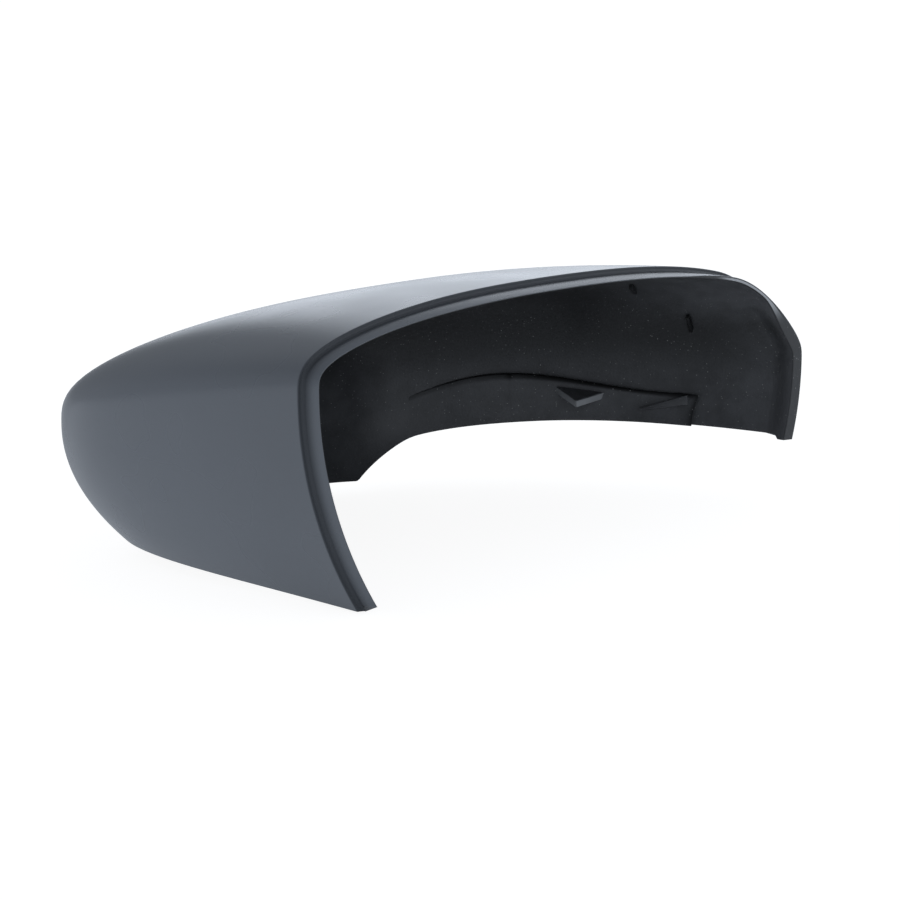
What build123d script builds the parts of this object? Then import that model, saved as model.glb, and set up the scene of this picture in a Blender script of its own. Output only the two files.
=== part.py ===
from build123d import *
import math
import os

# Wing mirror cover: one moulded shell, open to the rear and below.
# +X points to the outer tip, +Y forward to the nose, +Z up, in millimetres.
# While the shape is drawn, Z = 0 is the lower corner of the inner end.
# At the end the part moves down, so that the origin lies on the rear rim's
# seat, above the plan centre.

# Outer skin in plan, from the plan centre behind the rim
centre_behind_rim = 25.0
inner_reach = 103.0
outer_reach = 116.0
nose_reach = 122.0
inner_squareness = 5.8
outer_squareness = 1.88

# Crowned top, with a tighter round at the outer tip
top_height = 79.3
crest_x = -32.0
crown_radius_along = 1360.0
crown_radius_forward = 360.0
tip_round_length = 39.0
tip_round_start_x = outer_reach - tip_round_length
tip_round_radius = 45.0

# Belt line, the widest level of the skin, a plane that falls outwards and forwards
shoulder_drop = 27.3
belt_height = top_height - shoulder_drop
belt_fall_outward = 0.093
belt_fall_forward = 0.21

# Shoulder between belt and top, and the tuck below the belt
inner_shoulder = 3.15
outer_shoulder = 3.2
side_tuck = 0.20
front_tuck = 0.40
tuck_height = 60.0

# Wall, and the half-lap lip along the rear rim, trimmed above the lower edge of the inner end.
# Features inside the wall bite into it by half of the lip's thickness.
wall = 2.9
lip_inset = 1.6
lip_length = 6.2
lip_root_radius = 0.7
lip_trim = 2.0
bite = (wall - lip_inset) / 2

# Lower edge: a plane under the inner end and nose, then a ramp up to the arched lamp line.
# The ramp, the lamp line and the land keep their distance from the outer tip.
edge_rise_forward = 0.064
edge_fall_outward = 0.028
inner_corner_x = -81.0
ramp_angle = 28.0
ramp_top_from_tip = 68.5
ramp_top_x = outer_reach - ramp_top_from_tip
ramp_top_z = 14.0
ramp_blend_radius = 26.0
lamp_crest_from_tip = 24.0
lamp_crest_x = outer_reach - lamp_crest_from_tip
lamp_crest_z = 19.1
lamp_end_z = 15.8
lamp_flange_width = 8.0

# Return at the outer end of the rim, which widens the lip inwards, with a tab below
return_width = 2.9
return_thickness = 3.0
return_start_turn = 161.0
return_full_turn = 165.5
tab_drop = 1.2

# Raised land inside the nose, which thickens the wall above the lamp line
land_rise = 2.2
land_start_turn = 106.0
land_full_turn = 128.0
land_left_from_tip = 72.0
land_left_z = 24.3
land_crest_from_tip = 43.0
land_crest_z = 32.8
land_saddle_from_tip = 19.5
land_saddle_z = 27.9
land_end_from_tip = 14.0
land_end_z = 28.6
land_side_angle = 15.0

# Snap hook on the land, a small triangular shelf
hook_turn = 134.4
hook_below_belt = 2.3
hook_width = 15.0
hook_reach = 10.0
hook_thickness = 2.4
hook_tilt = -13.0
hook_pitch = 10.0

# Wedge rib beside the hook, thin towards the nose
wedge_turn = 146.3
wedge_below_belt = 11.2
wedge_length = 17.5
wedge_height = 3.0
wedge_reach = 4.2

# Short locating ribs under the top and inside the outer end, as turn and level
rib_places = ((141.0, 0.51), (150.3, 0.34))
rib_length = 7.0
rib_thickness = 1.2
rib_reach = 1.6

# Drawing values: how finely the skin is sampled and how far it overruns the part
overrun_behind = 6.0
turn_start = math.degrees(math.asin((centre_behind_rim - overrun_behind) / inner_reach))
turn_end = 180 - math.degrees(math.asin((centre_behind_rim - overrun_behind) / outer_reach))
turn_steps = 40
rise_fade = 0.4
overrun_below = 24.0
depth_below_belt = belt_height + overrun_below
below_steps = 8
shoulder_limit = 0.93
shoulder_steps = 16
skin_tolerance = 0.05
margin = 10.0
nudge = 1.0e-4


def belt(x, y):
    return belt_height - belt_fall_outward * x - belt_fall_forward * y


def top(x, y):
    along = (x - crest_x) ** 2 / (2 * crown_radius_along)
    forward = y ** 2 / (2 * crown_radius_forward)
    tip = max(0.0, x - tip_round_start_x) ** 2 / (2 * tip_round_radius)
    return top_height - along - forward - tip


def skin_point(turn, level):
    # turn goes round the plan, 0 at the inner end, 90 degrees at the nose, 180 at the tip.
    # level is -1 at the full depth below the belt, 0 on it and 1 at the middle of the top.
    # The plan and the shoulder are superellipses, and the tuck below the belt a parabola.
    cos_turn = math.cos(math.radians(turn))
    sin_turn = math.sin(math.radians(turn))
    inner = cos_turn > 0
    reach = inner_reach if inner else outer_reach
    squareness = inner_squareness if inner else outer_squareness
    forward = nose_reach + centre_behind_rim
    sides = abs(cos_turn / reach) ** squareness + abs(sin_turn / forward) ** squareness
    plan_radius = sides ** (-1 / squareness)
    if level < 0:
        below = -level * depth_below_belt
        tuck = side_tuck + (front_tuck - side_tuck) * sin_turn ** 2
        size = 1 - tuck * (below / tuck_height) ** 2
    else:
        share = 0.5 + 0.5 * cos_turn
        shoulder = outer_shoulder + (inner_shoulder - outer_shoulder) * share
        angle = level * math.pi / 2
        rounded = math.cos(angle) ** shoulder + math.sin(angle) ** shoulder
        size = rounded ** (-1 / shoulder) * math.cos(angle)
        rise = rounded ** (-1 / shoulder) * math.sin(angle)
    x = -size * plan_radius * cos_turn
    y = size * plan_radius * sin_turn - centre_behind_rim
    if level < 0:
        return Vector(x, y, belt(x, y) - below)
    return Vector(x, y, belt(x, y) + rise * (top(x, y) - belt(x, y)))


def skin_normal(turn, level):
    round_plan = skin_point(turn + nudge, level) - skin_point(turn - nudge, level)
    upward = skin_point(turn, level + nudge) - skin_point(turn, level - nudge)
    return upward.cross(round_plan).normalized()


def skin_volume(depth_at):
    # The room inside the skin, moved inwards by depth_at(turn), in front of the rim plane
    below = [-1 + i / below_steps for i in range(below_steps)]
    above = [shoulder_limit * i / shoulder_steps for i in range(shoulder_steps + 1)]
    rows = []
    for i in range(turn_steps + 1):
        turn = turn_start + (turn_end - turn_start) * i / turn_steps
        depth = depth_at(turn)
        row = [skin_point(turn, v) - skin_normal(turn, v) * depth for v in below + above]
        rows.append(row)
    face = Face.make_surface_from_array_of_points(rows, tol=skin_tolerance, min_deg=3)
    length = inner_reach + outer_reach + 2 * margin
    middle = (outer_reach - inner_reach) / 2
    depth = nose_reach + margin
    height = top_height + 2 * margin
    block = Pos(middle, depth / 2, height / 2 - margin) * Box(length, depth, height)
    halves = block.split(face, keep=Keep.ALL).solids()
    seed = Vector(0, nose_reach / 2, belt_height / 2)
    return [half for half in halves if half.is_inside(seed)][0]


def wall_plane(turn, level):
    # On the inner face of the wall: x along the wall outwards, y up the wall, z into the room
    normal = skin_normal(turn, level)
    place = skin_point(turn, level) - normal * wall
    along = skin_point(turn + nudge, level) - skin_point(turn - nudge, level)
    return Plane(origin=place, x_dir=along, z_dir=-normal)


def forward_prism(profile):
    # A profile drawn in x and z, carried forwards from the rim past the nose
    return extrude(Plane.XZ * profile, amount=-(nose_reach + margin))


def lamp_profile():
    # The space below the ramp and the lamp line, seen from behind
    low = -2 * margin
    far = outer_reach + margin
    foot_x = ramp_top_x - (ramp_top_z - low) / math.tan(math.radians(ramp_angle))
    knee = (ramp_top_x, ramp_top_z)
    outline = Polyline((far, lamp_end_z), (far, low), (foot_x, low), knee)
    outline += ThreePointArc(knee, (lamp_crest_x, lamp_crest_z), (far, lamp_end_z))
    face = make_face(outline)
    corner = face.vertices().sort_by_distance((ramp_top_x, ramp_top_z, 0))[0]
    return fillet(corner, ramp_blend_radius)


def land_profile():
    # The land's crest line, seen from behind, closed well below the lamp line
    low = -2 * margin
    left_x = outer_reach - land_left_from_tip
    end_x = outer_reach - land_end_from_tip
    lean = (land_end_z - low) * math.tan(math.radians(land_side_angle))
    crest = Spline(
        (left_x, land_left_z),
        (outer_reach - land_crest_from_tip, land_crest_z),
        (outer_reach - land_saddle_from_tip, land_saddle_z),
        (end_x, land_end_z),
    )
    sides = Polyline((end_x, land_end_z), (end_x - lean, low), (left_x, low), (left_x, land_left_z))
    return make_face(crest + sides)


def rising_depth(turn, start_turn, full_turn, rise):
    # Starts just inside the wall, so that the raised face comes out of it smoothly
    share = (turn - start_turn) / (full_turn - start_turn)
    share = min(1.0, max(0.0, share))
    return wall - rise_fade + (rise + rise_fade) * share * share * (3 - 2 * share)


def land_depth(turn):
    return rising_depth(turn, land_start_turn, land_full_turn, land_rise)


def return_depth(turn):
    return rising_depth(turn, return_start_turn, return_full_turn, return_width)


def snap_hook():
    base = wall_plane(hook_turn, -hook_below_belt / depth_below_belt)
    corners = ((-hook_width / 2, -bite), (hook_width / 2, -bite), (0, hook_reach))
    shelf = extrude(Plane.XZ * make_face(Polyline(*corners, close=True)), amount=hook_thickness)
    return base * Rot(hook_pitch, 0, hook_tilt) * shelf


def wedge_rib():
    base = wall_plane(wedge_turn, -wedge_below_belt / depth_below_belt)
    half = wedge_length / 2
    face = make_face(Polyline((-half, 0), (half, 0), (half, wedge_height), close=True))
    return base * Pos(0, 0, -bite) * extrude(face, amount=bite + wedge_reach)


def locating_rib(turn, level):
    rib = Box(rib_thickness, rib_length, bite + rib_reach)
    return wall_plane(turn, level) * Pos(0, 0, (rib_reach - bite) / 2) * rib


def seat_height():
    # Height of the lip's middle at the rim, above the plan centre
    size = centre_behind_rim / (centre_behind_rim + nose_reach)
    shoulder = (outer_shoulder + inner_shoulder) / 2
    rise = (1 - size ** shoulder) ** (1 / shoulder)
    skin = belt(0, 0) + rise * (top(0, 0) - belt(0, 0))
    return skin - (lip_inset + wall) / 2


# Shell between the skin and its inner face
outer_room = skin_volume(lambda turn: 0.0)
lip_room = skin_volume(lambda turn: lip_inset)
inner_room = skin_volume(lambda turn: wall)
bite_room = skin_volume(lambda turn: wall - bite)
land_room = skin_volume(land_depth)
return_room = skin_volume(return_depth)
cover = outer_room - inner_room

# Half-lap lips along the rear rim and the lamp line
span = 2 * (inner_reach + outer_reach)
rim_band = Pos(0, lip_length / 2, 0) * Box(span, lip_length, span)
cover -= rim_band - lip_room
trim_band = Pos(-inner_reach, 0, lip_trim - span / 2) * Box(2 * inner_reach, 2 * lip_length, span)
cover -= trim_band
lamp_space = lamp_profile()
flange_band = forward_prism(offset(lamp_space, lamp_flange_width, kind=Kind.INTERSECTION))
cover -= flange_band - lip_room

# Return at the outer end, then land, hook and ribs inside the nose
return_band = Pos(outer_reach, return_thickness / 2, 0) * Box(outer_reach, return_thickness, span)
cover += (bite_room - return_room) & return_band
cover += (bite_room - land_room) & forward_prism(land_profile())
cover += snap_hook()
cover += wedge_rib()
for turn, level in rib_places:
    cover += locating_rib(turn, level)

# Lower edge, which leaves the tab under the return
lamp_cut = forward_prism(lamp_space)
cover -= Pos(0, return_thickness, 0) * lamp_cut
cover -= Pos(0, 0, -tab_drop) * lamp_cut
under = Plane(
    origin=(inner_corner_x, lip_length, 0),
    z_dir=(edge_fall_outward, -edge_rise_forward, 1),
)
cover = split(cover, under, keep=Keep.TOP)

# Rounded root of the rim lip, the shorter of the step's two long edges
step_edges = cover.edges().filter_by_position(Axis.Y, lip_length - nudge, lip_length + nudge)
lip_root = step_edges.sort_by(SortBy.LENGTH)[-2]
cover = fillet(lip_root, lip_root_radius)

cover = Pos(0, 0, -seat_height()) * cover

os.makedirs("parts", exist_ok=True)
export_step(cover.solid(), "parts/mirror_cover.step")
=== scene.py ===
import math
import bpy
import bmesh
import numpy as np
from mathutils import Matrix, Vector


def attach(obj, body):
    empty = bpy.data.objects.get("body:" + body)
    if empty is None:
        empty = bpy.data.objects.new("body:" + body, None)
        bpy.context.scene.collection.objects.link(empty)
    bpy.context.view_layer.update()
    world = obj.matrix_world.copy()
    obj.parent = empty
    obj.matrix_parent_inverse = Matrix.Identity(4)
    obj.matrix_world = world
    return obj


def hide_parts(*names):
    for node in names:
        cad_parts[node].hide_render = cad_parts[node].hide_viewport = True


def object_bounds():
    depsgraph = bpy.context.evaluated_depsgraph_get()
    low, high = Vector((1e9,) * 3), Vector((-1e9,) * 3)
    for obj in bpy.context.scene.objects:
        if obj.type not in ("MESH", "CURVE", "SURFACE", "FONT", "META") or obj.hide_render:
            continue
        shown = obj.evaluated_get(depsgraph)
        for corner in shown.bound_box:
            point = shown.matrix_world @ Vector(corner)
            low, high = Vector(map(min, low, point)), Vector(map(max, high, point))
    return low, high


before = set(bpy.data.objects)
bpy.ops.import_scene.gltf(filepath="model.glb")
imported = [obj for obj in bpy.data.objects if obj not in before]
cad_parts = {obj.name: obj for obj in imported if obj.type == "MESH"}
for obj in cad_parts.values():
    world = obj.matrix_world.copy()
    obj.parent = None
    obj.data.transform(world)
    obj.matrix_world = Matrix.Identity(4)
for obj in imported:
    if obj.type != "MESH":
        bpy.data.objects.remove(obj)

cadLow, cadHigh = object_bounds()
print("frame loaded, CAD box", [round(v, 4) for v in (*cadLow, *cadHigh)])

# Moulded skin in millimetres, drawn with z = 0 at the lower corner of the inner end
skin = {
    "centreBehindRim": 25.0,
    "innerReach": 103.0,
    "outerReach": 116.0,
    "noseReach": 122.0,
    "innerSquareness": 5.8,
    "outerSquareness": 1.88,
    "topHeight": 79.3,
    "crestX": -32.0,
    "crownAlong": 1360.0,
    "crownForward": 360.0,
    "tipRoundX": 77.0,
    "tipRound": 45.0,
    "beltHeight": 52.0,
    "beltFallOut": 0.093,
    "beltFallForward": 0.21,
    "innerShoulder": 3.15,
    "outerShoulder": 3.2,
    "sideTuck": 0.20,
    "frontTuck": 0.40,
    "tuckHeight": 60.0,
    "depthBelowBelt": 76.0,
    "wall": 2.9,
    "lipInset": 1.6,
    "lipLength": 6.2,
}

# Searches for points on the skin: step sizes, and the turns and levels that hold each line
search = {
    "nudge": 1.0e-4,
    "newtonSteps": 14,
    "longestStep": 0.1,
    "halvings": 48,
    "sideLevels": (-0.95, 0.4),
    "innerTurns": (0.08, 1.2),
    "outerTurns": (1.9, 3.08),
    "topLevels": (0.2, 0.99),
    "lowTurns": (0.2, 3.02),
    "lowLevels": (-1.0, 0.25),
    "cornerTurns": (0.35, 2.9),
}


# Belt line: a plane that falls outwards and forwards
def beltAt(x, y):
    return skin["beltHeight"] - skin["beltFallOut"] * x - skin["beltFallForward"] * y


# Top: a parabola each way for the crown, and a tighter one towards the tip
def topAt(x, y):
    along = (x - skin["crestX"]) ** 2 / (2 * skin["crownAlong"])
    forward = y ** 2 / (2 * skin["crownForward"])
    tip = np.maximum(0.0, x - skin["tipRoundX"]) ** 2 / (2 * skin["tipRound"])
    return skin["topHeight"] - along - forward - tip


# Plan is two half superellipses round a centre behind the rim. Above the belt each
# meridian is a superellipse up to the crowned top, below it a parabola that tucks in.
def skinPoint(turn, level):
    c, s = np.cos(turn), np.sin(turn)
    inner = c > 0
    reach = np.where(inner, skin["innerReach"], skin["outerReach"])
    power = np.where(inner, skin["innerSquareness"], skin["outerSquareness"])
    forward = skin["noseReach"] + skin["centreBehindRim"]
    radius = (np.abs(c / reach) ** power + np.abs(s / forward) ** power) ** (-1 / power)
    below = np.maximum(0.0, -level) * skin["depthBelowBelt"]
    tuck = skin["sideTuck"] + (skin["frontTuck"] - skin["sideTuck"]) * s ** 2
    bend = skin["innerShoulder"] - skin["outerShoulder"]
    shoulder = skin["outerShoulder"] + bend * (0.5 + 0.5 * c)
    angle = np.clip(level, 0.0, 0.999) * math.pi / 2
    rounded = (np.cos(angle) ** shoulder + np.sin(angle) ** shoulder) ** (-1 / shoulder)
    size = np.where(level < 0, 1 - tuck * (below / skin["tuckHeight"]) ** 2, rounded * np.cos(angle))
    rise = np.where(level < 0, 0.0, rounded * np.sin(angle))
    x = -size * radius * c
    y = size * radius * s - skin["centreBehindRim"]
    belt = beltAt(x, y)
    return np.stack([x, y, belt - below + rise * (topAt(x, y) - belt)])


# Unit vectors on the skin: along the plan outwards, and out of the wall, from differences both ways
def skinVectors(turn, level):
    nudge = search["nudge"]
    along = skinPoint(turn + nudge, level) - skinPoint(turn - nudge, level)
    upward = skinPoint(turn, level + nudge) - skinPoint(turn, level - nudge)
    normal = np.cross(upward, along, axis=0)
    return along / np.linalg.norm(along, axis=0), normal / np.linalg.norm(normal, axis=0)


# The skin moved inwards by depth along its own normal
def wallPoint(turn, level, depth):
    return skinPoint(turn, level) - skinVectors(turn, level)[1] * depth


# Smooth step: 0 up to low, 1 from high on
def smooth(x, low, high):
    s = np.clip((x - low) / (high - low), 0.0, 1.0)
    return s * s * (3 - 2 * s)


# Lesser of two values, with a hyperbola of this width where they cross
def softMin(a, b, width):
    return 0.5 * (a + b - np.sqrt((a - b) ** 2 + width ** 2))


# Lower edge: a plane under the inner end, then a ramp up to the arched lamp line
lowerEdge = {
    "cornerX": -81.0,
    "riseForward": 0.064,
    "fallOut": 0.028,
    "rampAngle": 28.0,
    "kneeX": 47.5,
    "kneeZ": 14.0,
    "kneeRound": 0.76,
    "crestX": 92.0,
    "crestZ": 19.1,
    "endX": 126.0,
    "endZ": 15.8,
    "flangeWidth": 8.0,
}


# Circle through the knee, the crest and the far end of the lamp line
def lampCircle():
    a = complex(lowerEdge["kneeX"], lowerEdge["kneeZ"])
    b = complex(lowerEdge["crestX"], lowerEdge["crestZ"])
    c = complex(lowerEdge["endX"], lowerEdge["endZ"])
    w = (c - a) / (b - a)
    centre = (b - a) * (w - abs(w) ** 2) / (2j * w.imag) + a
    return centre, abs(a - centre)


lampCentre, lampRadius = lampCircle()


# The lamp line moved up by lift: a straight ramp softly joined to the arc
def lampLine(x, lift):
    slope = math.tan(math.radians(lowerEdge["rampAngle"]))
    ramp = lowerEdge["kneeZ"] + (x - lowerEdge["kneeX"]) * slope
    ramp = ramp + lift / math.cos(math.radians(lowerEdge["rampAngle"]))
    reach = (lampRadius + lift) ** 2 - (x - lampCentre.real) ** 2
    arc = lampCentre.imag + np.sqrt(np.maximum(1.0, reach))
    return softMin(ramp, arc, lowerEdge["kneeRound"])


# Plane under the inner end and the nose
def underPlane(x, y):
    forward = lowerEdge["riseForward"] * (y - skin["lipLength"])
    return forward - lowerEdge["fallOut"] * (x - lowerEdge["cornerX"])


# Heights above the lower edge and above the flange's upper line
def aboveEdge(p):
    return p[2] - np.maximum(underPlane(p[0], p[1]), lampLine(p[0], 0.0))


def aboveFlange(p):
    return p[2] - np.maximum(underPlane(p[0], p[1]), lampLine(p[0], lowerEdge["flangeWidth"]))


rimMiddleX = 10.0


# Angle round the rim seen from behind, 0 at the inner lower corner, pi at the outer one
def rimAngle(p):
    angle = np.arctan2(aboveEdge(p), rimMiddleX - p[0])
    return np.where(angle < -math.pi / 2, angle + 2 * math.pi, angle)


# Angle round the plan, 0 at the inner end, pi at the tip
def planAngle(p):
    return np.arctan2(p[1] + skin["centreBehindRim"], -p[0])


# Two measures that fix a point: of the rim, the lower edge, its corners, the flange or the land
def rimMeasure(p):
    return np.stack([p[1], rimAngle(p)])


def edgeMeasure(p):
    return np.stack([aboveEdge(p), planAngle(p)])


def cornerMeasure(p):
    return np.stack([p[1], aboveEdge(p)])


def flangeMeasure(p):
    return np.stack([aboveFlange(p), planAngle(p)])


def sideMeasure(p):
    return np.stack([p[0], p[2]])


# Newton steps on turn and level until both measures of the wall point reach their goals
def settle(measure, goal, turn, level, depth):
    goal = np.stack(np.broadcast_arrays(*goal)).astype(float)
    shape = goal.shape[1:]
    turn = np.broadcast_to(turn, shape).astype(float).copy()
    level = np.broadcast_to(level, shape).astype(float).copy()
    nudge, longest = search["nudge"], search["longestStep"]
    for step in range(search["newtonSteps"]):
        deep = depth(turn) if callable(depth) else depth
        here = measure(wallPoint(turn, level, deep))
        byTurn = (measure(wallPoint(turn + nudge, level, deep)) - here) / nudge
        byLevel = (measure(wallPoint(turn, level + nudge, deep)) - here) / nudge
        miss = goal - here
        det = byTurn[0] * byLevel[1] - byTurn[1] * byLevel[0]
        det = np.where(np.abs(det) < 1e-9, 1e-9, det)
        turn += np.clip((miss[0] * byLevel[1] - miss[1] * byLevel[0]) / det, -longest, longest)
        level += np.clip((byTurn[0] * miss[1] - byTurn[1] * miss[0]) / det, -longest, longest)
    return turn, level


# Halving search on an array shaped like another, for where a rising function passes zero
def halve(rising, limits, like):
    low, high = np.full_like(like, limits[0]), np.full_like(like, limits[1])
    for step in range(search["halvings"]):
        middle = 0.5 * (low + high)
        under = rising(middle) < 0
        low = np.where(under, middle, low)
        high = np.where(under, high, middle)
    return 0.5 * (low + high)


# First guess of the rim at this y and depth: both end branches and the top, by rim angle
def rimGuess(y, depth):
    side = np.linspace(*search["sideLevels"], 120)
    left = halve(lambda t: wallPoint(t, side, depth)[1] - y, search["innerTurns"], side)
    right = halve(lambda t: y - wallPoint(t, side, depth)[1], search["outerTurns"], side)
    across = np.linspace(left[-1], right[-1], 240)
    top = halve(lambda v: y - wallPoint(across, v, depth)[1], search["topLevels"], across)
    turn = np.concatenate([left, across[1:-1], right[::-1]])
    level = np.concatenate([side, top[1:-1], side[::-1]])
    return turn, level, rimAngle(wallPoint(turn, level, depth))


# First guess of the lower edge at this depth: for each turn the level where the height passes zero
def lowerGuess(depth):
    turn = np.linspace(*search["lowTurns"], 500)
    level = halve(lambda v: aboveEdge(wallPoint(turn, v, depth)), search["lowLevels"], turn)
    return turn, level, planAngle(wallPoint(turn, level, depth))


# Lengths along a row of points, from 0 to 1
def evenShare(p):
    steps = np.linalg.norm(np.diff(p, axis=1), axis=0)
    length = np.concatenate([[0.0], np.cumsum(steps)])
    return length / length[-1]


# Turn and level on the rim at y and depth for rim angles
def rimRow(angle, y, depth, guess):
    turn = np.interp(angle, guess[2], guess[0])
    level = np.interp(angle, guess[2], guess[1])
    return settle(rimMeasure, (y, angle), turn, level, depth)


# Turn and level on the lower edge between the corners at two y, at shares of its length
def lowerRow(share, depth, cornerYs):
    turn, level, angle = lowerGuess(depth)
    ends = []
    for y, near in zip(cornerYs, search["cornerTurns"]):
        start = np.interp(near, turn, level)
        corner = settle(cornerMeasure, (np.array([y]), 0.0), near, start, depth)
        ends.append(planAngle(wallPoint(*corner, depth))[0])
    fine = np.linspace(*ends, 800)
    t, v = np.interp(fine, angle, turn), np.interp(fine, angle, level)
    along = np.interp(share, evenShare(wallPoint(t, v, depth)), fine)
    t, v = np.interp(along, angle, turn), np.interp(along, angle, level)
    return settle(edgeMeasure, (0.0, along), t, v, depth)


# Straight runs in turn and level from one row to another, spaced by length on the wall
def fanRun(start, end, depth, spacing):
    v = np.linspace(0.0, 1.0, 241)[:, None]
    turn = start[0] + (end[0] - start[0]) * v
    level = start[1] + (end[1] - start[1]) * v
    p = wallPoint(turn, level, depth)
    steps = np.linalg.norm(np.diff(p, axis=1), axis=0)
    length = np.concatenate([np.zeros((1, steps.shape[1])), np.cumsum(steps, axis=0)])
    share = length / np.maximum(length[-1], 1e-6)
    where = np.stack([np.interp(spacing, column, v[:, 0]) for column in share.T], axis=1)
    turn = start[0] + (end[0] - start[0]) * where
    level = start[1] + (end[1] - start[1]) * where
    return wallPoint(turn, level, depth)


# Even spacing with one more row close to each end, which keeps the edges crisp
def crispSpacing(count):
    return np.concatenate([[0.0, 0.003], np.linspace(0, 1, count)[1:-1], [0.997, 1.0]])


# Height of the shared frame's origin: the middle of the lip's thickness at the top, where x and y are 0
def seatHeight():
    size = skin["centreBehindRim"] / (skin["centreBehindRim"] + skin["noseReach"])
    shoulder = (skin["outerShoulder"] + skin["innerShoulder"]) / 2
    rise = (1 - size ** shoulder) ** (1 / shoulder)
    top = beltAt(0.0, 0.0) + rise * (topAt(0.0, 0.0) - beltAt(0.0, 0.0))
    return top - (skin["lipInset"] + skin["wall"]) / 2


seat = seatHeight()


# Millimetres of the drawing to metres of the shared frame
def toFrame(p):
    p = np.array(p, float)
    p[2] = p[2] - seat
    return p * 0.001


# Half-lap rim: its small rounds, a lip that curves in towards its end, the trimmed inner foot,
# and the return that slopes into the wall at the outer end, with a tab. A pair of angles
# (radians round the rim), turns (degrees) or y says where a change starts and is full.
rim = {
    "lines": 260,
    "outerPoints": 72,
    "innerPoints": 64,
    "flangePoints": 6,
    "arcPoints": 5,
    "skinRound": 0.35,
    "coveRadius": 0.9,
    "endRound": 0.18,
    "sideLength": 4.6,
    "sidePoints": 10,
    "lipFall": 0.9,
    "fallPower": 1.7,
    "fallEnds": (2.15, 2.50),
    "lipShort": 1.5,
    "shortEnds": (0.5, 1.1),
    "endRows": (0.0, 0.08, 0.24, 0.30, 0.36, 0.92),
    "insideY": 8.2,
    "trim": 2.0,
    "returnWidth": 3.2,
    "returnTurns": (164.2, 166.7),
    "returnSlope": (0.6, 8.2),
    "slopeRows": (1.0, 2.5, 4.0, 5.5, 7.0),
    "tabDrop": 1.2,
    "tabAngle": 0.05,
    "tabEnds": (2.8, 3.3),
}

# Painted light along the rim: painted shade in the step, fading out along the lip's side, later along
# the top, and a painted highlight as a pale line on the lip's end round the outer upper corner
rimPaintedLight = {
    "step": (-0.1, 0.35),
    "lip": 0.92,
    "lipFade": (0.4, 5.4),
    "topShift": 1.8,
    "topStarts": (1.1, 1.9),
    "paleRows": (3, 6),
    "paleStarts": (2.36, 2.50),
    "paleEnds": (2.66, 2.80),
}


# Step section as rows of y and depth: rounded skin edge, then the cove at the lip's root
def rimStep():
    a = np.linspace(0, math.pi / 2, rim["arcPoints"])
    r, c = rim["skinRound"], rim["coveRadius"]
    y0, d0 = skin["lipLength"], skin["lipInset"]
    y = np.concatenate([y0 + r * (1 - np.sin(a)), y0 - c * (1 - np.cos(a))])
    d = np.concatenate([r * (1 - np.cos(a)), d0 - c * (1 - np.sin(a))])
    return y, d


# Lip section as rows of y and depth, painted and bare: its side, which falls in by a power curve,
# the outer round, the end face in to the depth called deep, the inner round and the slope to the wall
def lipSection(deep, fall):
    a = np.linspace(0, math.pi / 2, rim["arcPoints"])
    r, d0, wall = rim["endRound"], skin["lipInset"], skin["wall"]
    end = d0 + fall
    shares = np.linspace(0, 0.95, rim["sidePoints"])
    painted = [(r + rim["sideLength"] * (1 - q), d0 + fall * q ** rim["fallPower"]) for q in shares]
    painted += [(r * (1 - math.sin(v)), end + r * (1 - math.cos(v))) for v in a]
    far = deep - r - end - r
    bare = [(0.0, end + r + far * q) for q in rim["endRows"]]
    bare += [(r * (1 - math.cos(v)), deep - r * (1 - math.sin(v))) for v in a]
    bare += [(y, deep - (deep - wall) * smooth(y, *rim["returnSlope"])) for y in rim["slopeRows"]]
    return painted, bare


# Columns of the shell, even along the skin's edge: shares and rim angles up to the place where
# the flange meets the rim, and the same to the end
def shellColumns(edgeY, guess):
    fine = np.linspace(0.0, math.pi, 900)
    p = wallPoint(*rimRow(fine, edgeY, 0.0, guess), 0.0)
    share = evenShare(p)
    late = fine > math.pi * 0.6
    meet = np.interp(0.0, -aboveFlange(p)[late], share[late])
    firstLines = int(rim["lines"] * meet)
    first = np.linspace(0.0, meet, firstLines)
    last = np.linspace(meet, 1.0, max(6, rim["lines"] - firstLines))
    both = np.concatenate([first, last])
    return first, np.interp(first, share, fine), both, np.interp(both, share, fine)


# Flange, outer skin and step. Each column of the skin is a chord in turn and level from the lower
# edge to the rim, cut where it crosses the flange's line. Past the meeting place the skin and the
# step close up on the lip's root.
def outsideSections(first, firstAngles, both, edgeY, guess, root):
    lipY, inset = skin["lipLength"], skin["lipInset"]
    coveY = lipY - rim["coveRadius"]
    skinEnd = rimRow(firstAngles, edgeY, 0.0, guess)
    skinStart = lowerRow(first, 0.0, (edgeY, coveY))

    def onChord(s):
        return tuple(low + (high - low) * s for low, high in zip(skinStart, skinEnd))

    cross = halve(lambda s: aboveFlange(wallPoint(*onChord(s), 0.0)) + 1e-5, (0.0, 1.0), first)
    crossing = onChord(cross)
    crossAngle = planAngle(wallPoint(*crossing, 0.0))
    flangeTop = settle(flangeMeasure, (0.0, crossAngle), *crossing, inset)
    flangeStart = lowerRow(both, inset, (lipY + 1.0, coveY))
    flangeEnd = tuple(np.concatenate([top, end[len(first):]]) for top, end in zip(flangeTop, root))
    flange = fanRun(flangeStart, flangeEnd, inset, np.linspace(0, 1, rim["flangePoints"]))
    outer = fanRun(crossing, skinEnd, 0.0, crispSpacing(rim["outerPoints"]))

    rows = []
    t, v = skinEnd
    for y, d in zip(*rimStep()):
        t, v = settle(rimMeasure, (y, firstAngles), t, v, d)
        rows.append(wallPoint(t, v, d))
    step = np.stack(rows, axis=1)
    closedUp = wallPoint(*root, inset)[:, None, len(first):]
    outer = np.concatenate([outer, np.repeat(closedUp, outer.shape[1], axis=1)], axis=2)
    step = np.concatenate([step, np.repeat(closedUp, step.shape[1], axis=1)], axis=2)
    return flange, outer, step


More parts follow.
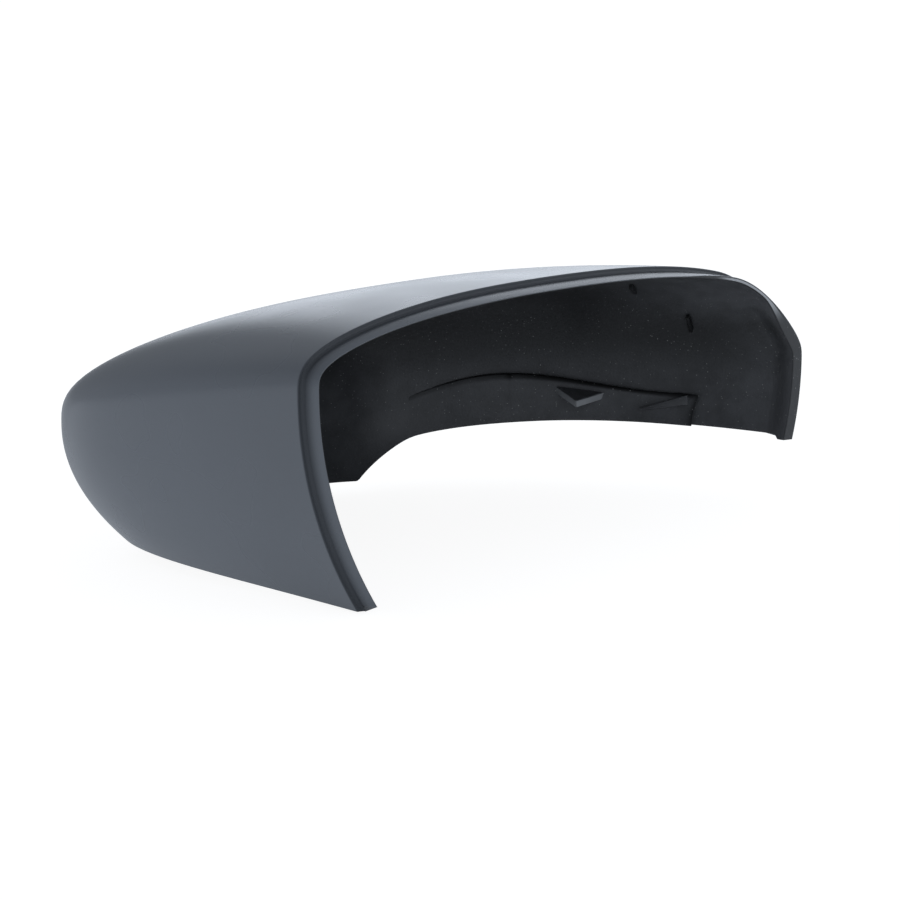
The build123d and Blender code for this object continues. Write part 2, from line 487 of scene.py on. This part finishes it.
# Lip from its root to the wall, painted and bare. It is shorter and trimmed at the inner end, and
# turned down into a tab at the outer one.
def lipSections(angles, root):
    wall, lipY = skin["wall"], skin["lipLength"]
    trim = math.atan2(rim["trim"], rimMiddleX - lowerEdge["cornerX"])
    tab = math.atan2(rim["tabDrop"], skin["outerReach"] - rimMiddleX)
    endTurn = np.degrees(rimRow(angles, 1.0, wall, rimGuess(1.0, wall))[0])
    deep = wall + rim["returnWidth"] * smooth(endTurn, *rim["returnTurns"])
    painted, bare = lipSection(deep, rim["lipFall"] * (1 - smooth(angles, *rim["fallEnds"])))
    short = rim["lipShort"] * (1 - smooth(angles, *rim["shortEnds"]))
    foot = angles + trim * (1 - smooth(angles, 0.0, 3 * trim))
    hang = tab * smooth(angles, math.pi - rim["tabAngle"], math.pi)
    rows = []
    t, v = root
    for y, d in painted + bare:
        angle = foot + hang * (1 - smooth(y, *rim["tabEnds"]))
        t, v = settle(rimMeasure, (y + short * (1 - y / lipY), angle), t, v, d)
        rows.append(wallPoint(t, v, d))
    lip = np.stack(rows, axis=1)
    return lip[:, :len(painted)], lip[:, len(painted):], (t, v), np.array([y for y, d in painted])


# Tone of each point: 0 is plain, 1 is painted shade in the recess on the primer and a painted highlight
# on the bare plastic
def shellTone(counts, angles, lipYs):
    tone = np.zeros((sum(counts), len(angles)))
    stepRow, lipRow, endRow = sum(counts[:2]), sum(counts[:3]), sum(counts[:4])
    # painted shade in the rim's step
    tone[stepRow:lipRow] = smooth(np.linspace(0.0, 1.0, counts[2]), *rimPaintedLight["step"])[:, None]
    inward = lipYs[:, None] + rimPaintedLight["topShift"] * smooth(angles, *rimPaintedLight["topStarts"])
    # painted shade along the lip's side, fading towards its end
    tone[lipRow:endRow] = rimPaintedLight["lip"] * smooth(inward, *rimPaintedLight["lipFade"])
    low, high = rimPaintedLight["paleRows"]
    pale = smooth(angles, *rimPaintedLight["paleStarts"]) * (1 - smooth(angles, *rimPaintedLight["paleEnds"]))
    # painted highlight: a pale line on the lip's end round the outer upper corner
    tone[endRow + low:endRow + high] = pale
    return tone


# Whole shell as one closed section carried from the inner lower corner to the outer one:
# flange, outer skin, rim step, lip, inner skin and lower edge
def shellGrid():
    wall, inset, insideY = skin["wall"], skin["lipInset"], rim["insideY"]
    coveY = skin["lipLength"] - rim["coveRadius"]
    edgeY = skin["lipLength"] + rim["skinRound"]
    guess = rimGuess(edgeY, 0.0)
    first, firstAngles, both, angles = shellColumns(edgeY, guess)
    root = rimRow(angles, coveY, inset, rimGuess(coveY, inset))
    outside = outsideSections(first, firstAngles, both, edgeY, guess, root)
    painted, bare, lipEnd, lipYs = lipSections(angles, root)
    innerEnd = settle(rimMeasure, (insideY, angles), *lipEnd, wall)
    innerStart = lowerRow(both, wall, (insideY, insideY))
    inner = fanRun(innerStart, innerEnd, wall, crispSpacing(rim["innerPoints"]))[:, ::-1]
    sections = [*outside, painted, bare, inner]
    counts = [section.shape[1] for section in sections]
    bareRows = np.repeat([0, 0, 0, 0, 1, 1], counts)
    return np.concatenate(sections, axis=1), bareRows, shellTone(counts, angles, lipYs)


# Quads between the points of a closed section carried along open columns
def tubeFaces(rows, columns):
    k, i = np.meshgrid(np.arange(rows), np.arange(columns - 1), indexing="ij")
    a = k * columns + i
    b = (k + 1) % rows * columns + i
    quads = np.stack([a, b, b + 1, a + 1], axis=-1).reshape(-1, 4)
    return quads, np.repeat(np.arange(rows), columns - 1)


# Mesh of a closed tube: grid is 3 x section points x columns, and both ends are filled
def tubeMesh(name, grid, materialOfRow=None, toneAt=None):
    rows, columns = grid.shape[1], grid.shape[2]
    quads, rowOf = tubeFaces(rows, columns)
    first = np.arange(rows) * columns
    caps = [first.tolist(), (first + columns - 1)[::-1].tolist()]
    mesh = bpy.data.meshes.new(name)
    mesh.from_pydata(toFrame(grid.reshape(3, -1)).T.tolist(), [], quads.tolist() + caps)
    index = np.zeros(len(rowOf) + 2, np.int32)
    if materialOfRow is not None:
        index[:-2] = materialOfRow[rowOf]
    mesh.polygons.foreach_set("material_index", index)
    mesh.polygons.foreach_set("use_smooth", np.ones(len(index), bool))
    tone = mesh.attributes.new("tone", "FLOAT", "POINT")
    if toneAt is not None:
        tone.data.foreach_set("value", toneAt.ravel().astype(np.float32))
    mesh.update()
    return mesh


mergeLength = 2.0e-6
sharpAngle = 35.0


# Merges doubled points, drops faces without area and turns the faces outwards
def cleanMesh(mesh):
    bm = bmesh.new()
    bm.from_mesh(mesh)
    bmesh.ops.remove_doubles(bm, verts=bm.verts, dist=mergeLength)
    bmesh.ops.dissolve_degenerate(bm, edges=bm.edges, dist=mergeLength * 0.2)
    bmesh.ops.recalc_face_normals(bm, faces=bm.faces)
    if bm.calc_volume(signed=True) < 0:
        bmesh.ops.reverse_faces(bm, faces=bm.faces)
    openEdges = sum(1 for e in bm.edges if len(e.link_faces) != 2)
    bm.to_mesh(mesh)
    bm.free()
    mesh.set_sharp_from_angle(angle=math.radians(sharpAngle))
    return openEdges


# Puts a piece in the scene as part of the cover
def addPiece(mesh, *materials):
    openEdges = cleanMesh(mesh)
    for material in materials:
        mesh.materials.append(material)
    piece = bpy.data.objects.new(mesh.name, mesh)
    bpy.context.scene.collection.objects.link(piece)
    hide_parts("mirror_cover")
    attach(piece, "root")
    print(mesh.name + ":", len(mesh.polygons), "faces, open edges", openEdges)


# What stands on the inner wall is sunk into it by this much
bite = 0.6

# Raised land inside the nose: the crest's height is a polynomial in x about the middle
land = {
    "left": 44.0,
    "right": 100.2,
    "middle": 73.0,
    "crest": (8.1e-6, 1.02e-4, -0.0146, -0.0143, 32.9),
    "rise": 2.2,
    "startInWall": 0.4,
    "turns": (106.0, 128.0),
    "sideAngle": 15.0,
    "sideLength": 12.0,
    "aboveLamp": 0.03,
    "round": 0.35,
    "stations": 90,
    "frontRows": 14,
    "searchTurns": (1.5, 2.85),
}

# Painted shade on the land: on its ledge, most of all beside the hook, on a faint shadow line and at its
# end
landPaintedShade = {
    "ledgeEnds": (0.03, 0.12),
    "ledge": 0.45,
    "besideHook": 0.55,
    "hookX": 84.0,
    "hookSpread": 16.0,
    "shadowLineX": 71.0,
    "shadowLineSpread": 0.5,
    "shadowLine": 0.22,
    "end": 0.7,
    "endLengths": (0.9, 0.2),
}


# Depth of the land's front face below the skin, which starts just inside the wall
def landFront(turn):
    share = smooth(np.degrees(turn), *land["turns"])
    start = land["startInWall"]
    return skin["wall"] - start + (land["rise"] + start) * share


# Section of the land as rows of drop below the crest, share of the way down and share of the way
# out: buried back, front face up to the rounded edge, and ledge
def landSection():
    r = land["round"]
    rows = [(0.0, 0.0, 0.0), (0.0, 0.0, 0.5), (0.0, 0.0, 0.86), (0.3 * r, 0.0, 0.96), (r, 0.0, 1.0)]
    rows += [(r, share, 1.0) for share in np.linspace(0.06, 1.0, land["frontRows"])]
    rows += [(r, 1.0, 0.5), (r, 1.0, 0.0), (r, 0.66, 0.0), (r, 0.33, 0.0)]
    return rows[::-1]


# Bell curve of height 1
def bell(x, middle, spread):
    return np.exp(-(((x - middle) / spread) ** 2))


# Tone of the land, below 0 where painted shade lies
def landTone(section, x):
    ends = landPaintedShade["ledgeEnds"]
    onLedge = [1 - smooth(share, *ends) if out > 0.4 else 0.0 for drop, share, out in section]
    besideHook = landPaintedShade["besideHook"] * bell(x, landPaintedShade["hookX"], landPaintedShade["hookSpread"])
    ledge = np.array(onLedge)[:, None] * (landPaintedShade["ledge"] + besideHook)
    shadowLine = landPaintedShade["shadowLine"] * bell(x, landPaintedShade["shadowLineX"], landPaintedShade["shadowLineSpread"])
    endLow, endHigh = (land["right"] - length for length in landPaintedShade["endLengths"])
    # painted shade on the ledge, beside the hook, on a shadow line and at the land's end
    return -np.maximum(ledge + shadowLine, landPaintedShade["end"] * smooth(x, endLow, endHigh))


# Land as its section carried along x between the crest and the lamp line, with a slanted outer side
def landGrid():
    x = np.linspace(land["left"], land["right"], land["stations"])
    top = np.polyval(land["crest"], x - land["middle"])
    bottom = lampLine(x, 0.0) + land["aboveLamp"]
    turn, level, angle = lowerGuess(skin["wall"])
    edgeX = wallPoint(turn, level, skin["wall"])[0]
    front = (turn > land["searchTurns"][0]) & (turn < land["searchTurns"][1])
    turn = np.interp(x, edgeX[front], turn[front])
    level = np.interp(x, edgeX[front], level[front])
    back = skin["wall"] - bite
    slant = math.tan(math.radians(land["sideAngle"]))
    slant = slant * smooth(x, land["right"] - land["sideLength"], land["right"])

    def depthAt(turn, out):
        return back + (landFront(turn) - back) * out

    section = landSection()
    rows = []
    for drop, share, out in section:
        z = top - drop - (top - drop - bottom) * share
        goal = (x - slant * (top - z), z)
        turn, level = settle(sideMeasure, goal, turn, level, lambda t: depthAt(t, out))
        rows.append(wallPoint(turn, level, depthAt(turn, out)))
    return np.stack(rows, axis=1), landTone(section, x)


cornerPoints = 6
edgePoints = 4


# Outline of a polygon with rounded corners, moved inwards by inset, all corners turning left
def roundedOutline(corners, radius, inset):
    c = np.array(corners, float)
    ahead = np.roll(c, -1, axis=0) - c
    ahead = ahead / np.linalg.norm(ahead, axis=1)[:, None]
    outward = np.stack([ahead[:, 1], -ahead[:, 0]], axis=1)
    before = np.roll(outward, 1, axis=0)
    centre = c - radius * (before + outward) / (1 + (before * outward).sum(axis=1))[:, None]
    start = np.arctan2(before[:, 1], before[:, 0])
    sweep = (np.arctan2(outward[:, 1], outward[:, 0]) - start) % (2 * math.pi)
    angle = start[:, None] + sweep[:, None] * np.linspace(0, 1, cornerPoints)
    ring = np.stack([np.cos(angle), np.sin(angle)], axis=-1) * (radius - inset)
    return (centre[:, None] + ring).reshape(-1, 2)


# Slab of a rounded outline between two heights, with quarter-round edges, on the given axes
def slabGrid(corners, look, low, high, origin, axes):
    a = np.linspace(0, math.pi / 2, edgePoints)
    edge = look["edge"]
    insets = np.concatenate([edge * (1 - np.sin(a)), edge * (1 - np.cos(a))])
    heights = np.concatenate([low + edge * (1 - np.cos(a)), high - edge * (1 - np.sin(a))])
    side, up, out = (axis[:, None] for axis in axes)
    columns = []
    for inset, height in zip(insets, heights):
        flat = roundedOutline(corners, look["corner"], inset)
        columns.append(origin[:, None] + side * flat[:, 0] + up * flat[:, 1] + out * height)
    return np.stack(columns, axis=2)


# Place and axes on the inner face of the wall: along it outwards, up it and into the room
def wallAxes(turn, level):
    turn = np.array(math.radians(turn))
    level = np.array(level)
    along, normal = skinVectors(turn, level)
    return wallPoint(turn, level, skin["wall"]), along, np.cross(-normal, along), -normal


# Small features are placed on the wall by turn in degrees and by level or millimetres below the belt.
# The painted highlight is the hook's tone over its thickness: pale on the sides, none on the two flat
# faces.
snapHook = {
    "turn": 134.4,
    "belowBelt": 1.2,
    "width": 20.0,
    "reach": 11.5,
    "thickness": 2.4,
    "tilt": -13.0,
    "pitch": 14.0,
    "corner": 0.6,
    "edge": 0.35,
    "highlightTone": (0.0, 0.0, 0.25, 0.54, 0.54, 0.25, 0.0, 0.0),
}


# Triangular slab that stands out of the wall, tilted along it and pitched down
def hookGrid():
    level = -snapHook["belowBelt"] / skin["depthBelowBelt"]
    origin, along, up, into = wallAxes(snapHook["turn"], level)
    tilt, pitch = math.radians(snapHook["tilt"]), math.radians(snapHook["pitch"])
    side = along * math.cos(tilt) + up * math.sin(tilt)
    rise = up * math.cos(tilt) - along * math.sin(tilt)
    out = into * math.cos(pitch) - rise * math.sin(pitch)
    half = snapHook["width"] / 2
    corners = ((-half, -bite), (half, -bite), (0.0, snapHook["reach"]))
    axes = (side, out, np.cross(side, out))
    grid = slabGrid(corners, snapHook, 0.0, snapHook["thickness"], origin, axes)
    # painted highlight on the hook's sides
    return grid, np.array(snapHook["highlightTone"]) + np.zeros(grid.shape[1:])


wedgeRib = {
    "turn": 146.3,
    "belowBelt": 11.2,
    "length": 17.5,
    "height": 3.0,
    "reach": 4.2,
    "corner": 0.2,
    "edge": 0.15,
}


# Wedge that rises along the wall
def wedgeGrid():
    level = -wedgeRib["belowBelt"] / skin["depthBelowBelt"]
    origin, along, up, into = wallAxes(wedgeRib["turn"], level)
    half = wedgeRib["length"] / 2
    corners = ((-half, 0.0), (half, 0.0), (half, wedgeRib["height"]))
    return slabGrid(corners, wedgeRib, -bite, wedgeRib["reach"], origin, (along, up, into))


locatingRib = {
    "places": ((141.0, 0.51), (150.3, 0.34)),
    "length": 7.0,
    "thickness": 1.2,
    "reach": 1.6,
    "corner": 0.3,
    "edge": 0.25,
    # painted shade over the whole rib
    "paintedShade": 0.6,
}


# Short upright bar on the wall
def ribGrid(turn, level):
    origin, along, up, into = wallAxes(turn, level)
    a, b = locatingRib["thickness"] / 2, locatingRib["length"] / 2
    corners = ((-a, -b), (a, -b), (a, b), (-a, b))
    grid = slabGrid(corners, locatingRib, -bite, locatingRib["reach"], origin, (along, up, into))
    # painted shade over the whole rib
    return grid, np.full(grid.shape[1:], -locatingRib["paintedShade"])


# Small helpers for a node tree
class Nodes:
    def __init__(self, tree, coordinates):
        self.nodes = tree.nodes
        self.links = tree.links
        self.place = self.new("TexCoord").outputs[coordinates]

    def new(self, kind):
        return self.nodes.new("ShaderNode" + kind)

    def put(self, value, socket):
        if hasattr(value, "is_output"):
            self.links.new(value, socket)
        else:
            socket.default_value = value

    def ramp(self, value, low, high, toLow=0.0, toHigh=1.0):
        node = self.new("MapRange")
        node.interpolation_type = "SMOOTHSTEP"
        self.put(value, node.inputs["Value"])
        node.inputs["From Min"].default_value = low
        node.inputs["From Max"].default_value = high
        node.inputs["To Min"].default_value = toLow
        node.inputs["To Max"].default_value = toHigh
        return node.outputs["Result"]

    def math(self, kind, a, b):
        node = self.new("Math")
        node.operation = kind
        self.put(a, node.inputs[0])
        self.put(b, node.inputs[1])
        return node.outputs["Value"]

    def blend(self, share, a, b):
        node = self.new("Mix")
        self.put(share, node.inputs["Factor"])
        self.put(a, node.inputs["A"])
        self.put(b, node.inputs["B"])
        return node.outputs["Result"]

    def mix(self, share, a, b):
        node = self.new("Mix")
        node.data_type = "RGBA"
        self.put(share, node.inputs["Factor"])
        self.put(a if hasattr(a, "is_output") else (*a, 1.0), node.inputs["A"])
        self.put(b if hasattr(b, "is_output") else (*b, 1.0), node.inputs["B"])
        return node.outputs["Result"]

    def axes(self):
        node = self.new("SeparateXYZ")
        self.links.new(self.place, node.inputs["Vector"])
        return node.outputs["X"], node.outputs["Y"], node.outputs["Z"]


# A procedural material on Object coordinates
class Finish(Nodes):
    def __init__(self, name):
        self.material = bpy.data.materials.new(name)
        self.material.use_nodes = True
        super().__init__(self.material.node_tree, "Object")
        self.shader = self.nodes["Principled BSDF"].inputs

    def noise(self, scale, detail=2.0):
        node = self.new("TexNoise")
        node.inputs["Scale"].default_value = scale
        node.inputs["Detail"].default_value = detail
        self.links.new(self.place, node.inputs["Vector"])
        return node.outputs["Fac"]

    def bump(self, height, strength):
        node = self.new("Bump")
        node.inputs["Strength"].default_value = strength
        node.inputs["Distance"].default_value = 0.0002
        self.links.new(height, node.inputs["Height"])
        self.links.new(node.outputs["Normal"], self.shader["Normal"])

    def tone(self):
        node = self.new("Attribute")
        node.attribute_name = "tone"
        return node.outputs["Fac"]

    def specks(self, scale, size):
        node = self.new("TexVoronoi")
        node.inputs["Scale"].default_value = scale
        self.links.new(self.place, node.inputs["Vector"])
        apart = self.new("SeparateColor")
        self.links.new(node.outputs["Color"], apart.inputs["Color"])
        spot = self.ramp(node.outputs["Distance"], size, size * 0.5)
        return self.math("MULTIPLY", spot, self.ramp(apart.outputs["Red"], 0.1, 0.9))


# Pairs are in metres where they belong to x, y or z
satinPrimer = {
    "colour": (0.097, 0.107, 0.122),
    "shade": (0.087, 0.097, 0.111),
    # colour of the painted shade in the step, along the lip and near the rim
    "recessShade": (0.046, 0.050, 0.056),
    # painted shade: how much darker the primer gets towards the rim
    "thin": 0.2,
    "thinY": (0.055, 0.010),
    "specular": (0.5, 0.12),
    "roughness": (0.25, 0.30),
    "cloudScale": 28.0,
    "peel": 0.05,
    "peelScale": 900.0,
}


# Grey primer: a faint cloud in colour and gloss, painted shade near the rim and in its recess, orange
# peel
def primerFinish():
    f = Finish("satinPrimer")
    cloud = f.noise(satinPrimer["cloudScale"])
    body = f.mix(cloud, satinPrimer["colour"], satinPrimer["shade"])
    x, y, z = f.axes()
    # painted shade: darker towards the rim
    body = f.mix(f.ramp(y, *satinPrimer["thinY"], 0.0, satinPrimer["thin"]), body, satinPrimer["recessShade"])
    tone = f.tone()
    # painted shade in the step and along the lip, by tone
    f.put(f.mix(tone, body, satinPrimer["recessShade"]), f.shader["Base Color"])
    # gloss drops where the shade is painted
    f.put(f.ramp(tone, 0.0, 1.0, *satinPrimer["specular"]), f.shader["Specular IOR Level"])
    f.put(f.ramp(cloud, 0.3, 0.7, *satinPrimer["roughness"]), f.shader["Roughness"])
    f.bump(f.noise(satinPrimer["peelScale"], 1.0), satinPrimer["peel"])
    return f.material


blackGrain = {
    "colour": (0.011, 0.0115, 0.0125),
    "shade": (0.017, 0.018, 0.019),
    # pale colour for overspray and painted light inside
    "oversprayAndLight": (0.070, 0.072, 0.077),
    # colour of the painted highlight
    "paleHighlight": (0.35, 0.36, 0.37),
    # colour of the painted shade
    "paintedShade": (0.003, 0.003, 0.003),
    "specular": (0.5, 0.05),
    "roughness": (0.42, 0.55),
    "cloudScale": 35.0,
    "grain": 0.25,
    "grainScale": 1400.0,
    # overspray and painted light under the top; painted light low down; overspray and painted light at
    # the outer end
    "topMistAndLight": {"x": (0.045, 0.090), "y": (0.060, 0.010), "z": (-0.030, -0.016), "most": 1.2},
    "lowPaintedLight": {"x": (-0.040, 0.105), "z": (-0.030, -0.050), "shares": (0.14, 0.85)},
    "outerMistAndLight": {"x": (0.085, 0.108), "y": (0.030, 0.002), "most": 0.7},
    "bareEndY": (0.0001, 0.0006),
    "palePatchScale": 160.0,
    "dullNoseY": (0.103, 0.112),
    "dullNose": 0.15,
    "speck": (0.26, 0.26, 0.25),
    "speckScale": 850.0,
    "speckSize": 0.17,
    "speckX": (0.0, 0.06),
    "speckPatches": 60.0,
}


# Share of paler colour inside: overspray and painted light under the top and near the rim at the outer
# end, and painted light low down where the wall faces up towards the light
def oversprayAndLightShare(f):
    x, y, z = f.axes()
    top, low, outer = blackGrain["topMistAndLight"], blackGrain["lowPaintedLight"], blackGrain["outerMistAndLight"]
    # overspray and painted light under the top
    underTop = f.math("MULTIPLY", f.ramp(x, *top["x"]), f.ramp(z, *top["z"]))
    underTop = f.math("MULTIPLY", f.ramp(y, *top["y"], 0.0, top["most"]), underTop)
    # painted light: lighter low down, where the wall faces up towards the light
    lowDown = f.math("MULTIPLY", f.ramp(z, *low["z"]), f.ramp(x, *low["x"], *low["shares"]))
    # overspray and painted light near the rim at the outer end
    atEnd = f.math("MULTIPLY", f.ramp(y, *outer["y"], 0.0, outer["most"]), f.ramp(x, *outer["x"]))
    share = f.math("MAXIMUM", underTop, f.math("ADD", atEnd, lowDown))
    share = f.math("MULTIPLY", share, f.ramp(y, *blackGrain["bareEndY"], 0.1, 1.0))
    patches = f.ramp(f.noise(blackGrain["palePatchScale"]), 0.25, 0.7, 0.6, 1.0)
    return f.math("MULTIPLY", share, patches)


# Bare black plastic: fine grain, overspray and painted light, a painted highlight and painted shade by
# tone, dust specks at the outer end
def plasticFinish():
    f = Finish("blackGrain")
    cloud = f.noise(blackGrain["cloudScale"])
    patchy = f.ramp(cloud, 0.3, 0.7)
    body = f.mix(patchy, blackGrain["colour"], blackGrain["shade"])
    # overspray and painted light mixed into the colour
    body = f.mix(oversprayAndLightShare(f), body, blackGrain["oversprayAndLight"])
    tone = f.tone()
    # painted highlight where tone is above 0
    body = f.mix(f.ramp(tone, 0.0, 1.0), body, blackGrain["paleHighlight"])
    # painted shade where tone is below 0
    body = f.mix(f.ramp(tone, 0.0, -1.0), body, blackGrain["paintedShade"])
    x, y, z = f.axes()
    patches = f.ramp(f.noise(blackGrain["speckPatches"]), 0.35, 0.60, 0.3, 1.0)
    outward = f.math("MULTIPLY", f.ramp(x, *blackGrain["speckX"], 0.04, 1.0), patches)
    dust = f.math("MULTIPLY", f.specks(blackGrain["speckScale"], blackGrain["speckSize"]), outward)
    f.put(f.mix(dust, body, blackGrain["speck"]), f.shader["Base Color"])
    f.put(f.ramp(cloud, 0.3, 0.7, *blackGrain["roughness"]), f.shader["Roughness"])
    # gloss drops where the shade is painted
    outOfShade = f.ramp(tone, 0.0, -1.0, *blackGrain["specular"])
    dull = f.ramp(y, *blackGrain["dullNoseY"], 1.0, blackGrain["dullNose"])
    f.put(f.math("MULTIPLY", outOfShade, dull), f.shader["Specular IOR Level"])
    f.bump(f.noise(blackGrain["grainScale"], 3.0), blackGrain["grain"])
    return f.material


primerMaterial = primerFinish()
plasticMaterial = plasticFinish()
print("materials made")

grid, bareRows, tone = shellGrid()
addPiece(tubeMesh("coverShell", grid, bareRows, tone), primerMaterial, plasticMaterial)
grid, tone = landGrid()
addPiece(tubeMesh("innerLand", grid, toneAt=tone), plasticMaterial)
grid, tone = hookGrid()
addPiece(tubeMesh("snapHook", grid, toneAt=tone), plasticMaterial)
addPiece(tubeMesh("wedgeRib", wedgeGrid()), plasticMaterial)
for number, place in enumerate(locatingRib["places"], 1):
    grid, tone = ribGrid(*place)
    addPiece(tubeMesh("locatingRib%d" % number, grid, toneAt=tone), plasticMaterial)

# Studio: a pale floor that stays white to the camera and keeps a soft shadow, bright panels low
# round the cover and dimmer light overhead
studio = {
    "tint": (0.92, 0.985, 1.08),
    "overhead": 0.47,
    "shade": 0.28,
    "panels": (
        {"turn": -10.0, "reach": (0.465, 0.535), "strength": 1.70},
        {"turn": 150.0, "reach": (0.08, 0.80), "strength": 0.60},
        {"turn": -105.0, "reach": (0.30, 0.90), "strength": 0.95},
    ),
    "heights": (0.28, 0.58),
    "floorHalf": 3.0,
    "floorGap": 0.0002,
    "floorColour": 0.80,
    "floorLight": (0.50, 0.09),
    "floorLightX": (-0.11, -0.04),
    "floorGlow": 0.90,
    "floorShadow": 0.28,
}


# Floor: to the camera a dark grey with a white glow, to the cover a pale grey that glows most
# towards the inner end
def floorFinish():
    f = Finish("paleFloor")

    def glowing(grey, tint, strength):
        lit = f.new("BsdfDiffuse")
        lit.inputs["Color"].default_value = (grey, grey, grey, 1.0)
        glow = f.new("Emission")
        glow.inputs["Color"].default_value = (*tint, 1.0)
        f.put(strength, glow.inputs["Strength"])
        both = f.new("AddShader")
        f.put(lit.outputs["BSDF"], both.inputs[0])
        f.put(glow.outputs["Emission"], both.inputs[1])
        return both.outputs["Shader"]

    x, y, z = f.axes()
    fade = f.ramp(x, *studio["floorLightX"], *studio["floorLight"])
    mix = f.new("MixShader")
    f.put(f.new("LightPath").outputs["Is Camera Ray"], mix.inputs["Fac"])
    f.put(glowing(studio["floorColour"], studio["tint"], fade), mix.inputs[1])
    f.put(glowing(studio["floorShadow"], (1.0, 1.0, 1.0), studio["floorGlow"]), mix.inputs[2])
    f.put(mix.outputs["Shader"], f.nodes["Material Output"].inputs["Surface"])
    f.nodes.remove(f.nodes["Principled BSDF"])
    return f.material


def makeFloor():
    a, z = studio["floorHalf"], cadLow.z - studio["floorGap"]
    mesh = bpy.data.meshes.new("floor")
    mesh.from_pydata([(-a, -a, z), (a, -a, z), (a, a, z), (-a, a, z)], [], [(0, 1, 2, 3)])
    mesh.materials.append(floorFinish())
    floor = bpy.data.objects.new("floor", mesh)
    bpy.context.scene.collection.objects.link(floor)


# World: panels by direction near the horizon, fading upwards into the overhead light, and white
# to the camera
def makeWorld():
    world = bpy.data.worlds.new("studio")
    bpy.context.scene.world = world
    world.use_nodes = True
    w = Nodes(world.node_tree, "Generated")

    def panelLight(panel):
        turn = math.radians(panel["turn"])
        facing = w.new("VectorMath")
        facing.operation = "DOT_PRODUCT"
        w.put(w.place, facing.inputs[0])
        facing.inputs[1].default_value = (math.cos(turn), math.sin(turn), 0.0)
        return w.ramp(facing.outputs["Value"], *panel["reach"], studio["shade"], panel["strength"])

    horizon = panelLight(studio["panels"][0])
    for panel in studio["panels"][1:]:
        horizon = w.math("MAXIMUM", horizon, panelLight(panel))
    x, y, z = w.axes()
    light = w.blend(w.ramp(z, *studio["heights"]), horizon, studio["overhead"])
    seen = w.new("LightPath").outputs["Is Camera Ray"]
    background = w.nodes["Background"].inputs
    w.put(w.blend(seen, light, 1.0), background["Strength"])
    w.put(w.mix(seen, studio["tint"], (1.0, 1.0, 1.0)), background["Color"])


makeFloor()
makeWorld()
print("studio made")

# Camera at the photograph's angle, with no shift
view = {
    "azimuth": -49.686,
    "elevation": 11.706,
    "distance": 919.36,
    "target": (1.69, 45.0, 24.68),
    "lens": 129.12,
    "sensor": 36.0,
}


def makeCamera():
    data = bpy.data.cameras.new("camera")
    data.lens = view["lens"]
    data.sensor_width = view["sensor"]
    camera = bpy.data.objects.new("camera", data)
    bpy.context.scene.collection.objects.link(camera)
    bpy.context.scene.camera = camera
    a, e = math.radians(view["azimuth"]), math.radians(view["elevation"])
    back = Vector((math.sin(a) * math.cos(e), -math.cos(a) * math.cos(e), math.sin(e)))
    camera.location = Vector(toFrame(view["target"])) + back * view["distance"] * 0.001
    camera.rotation_mode = "QUATERNION"
    camera.rotation_quaternion = (-back).to_track_quat("-Z", "Y")


makeCamera()
bpy.context.scene.view_settings.view_transform = "Standard"
print("camera made")
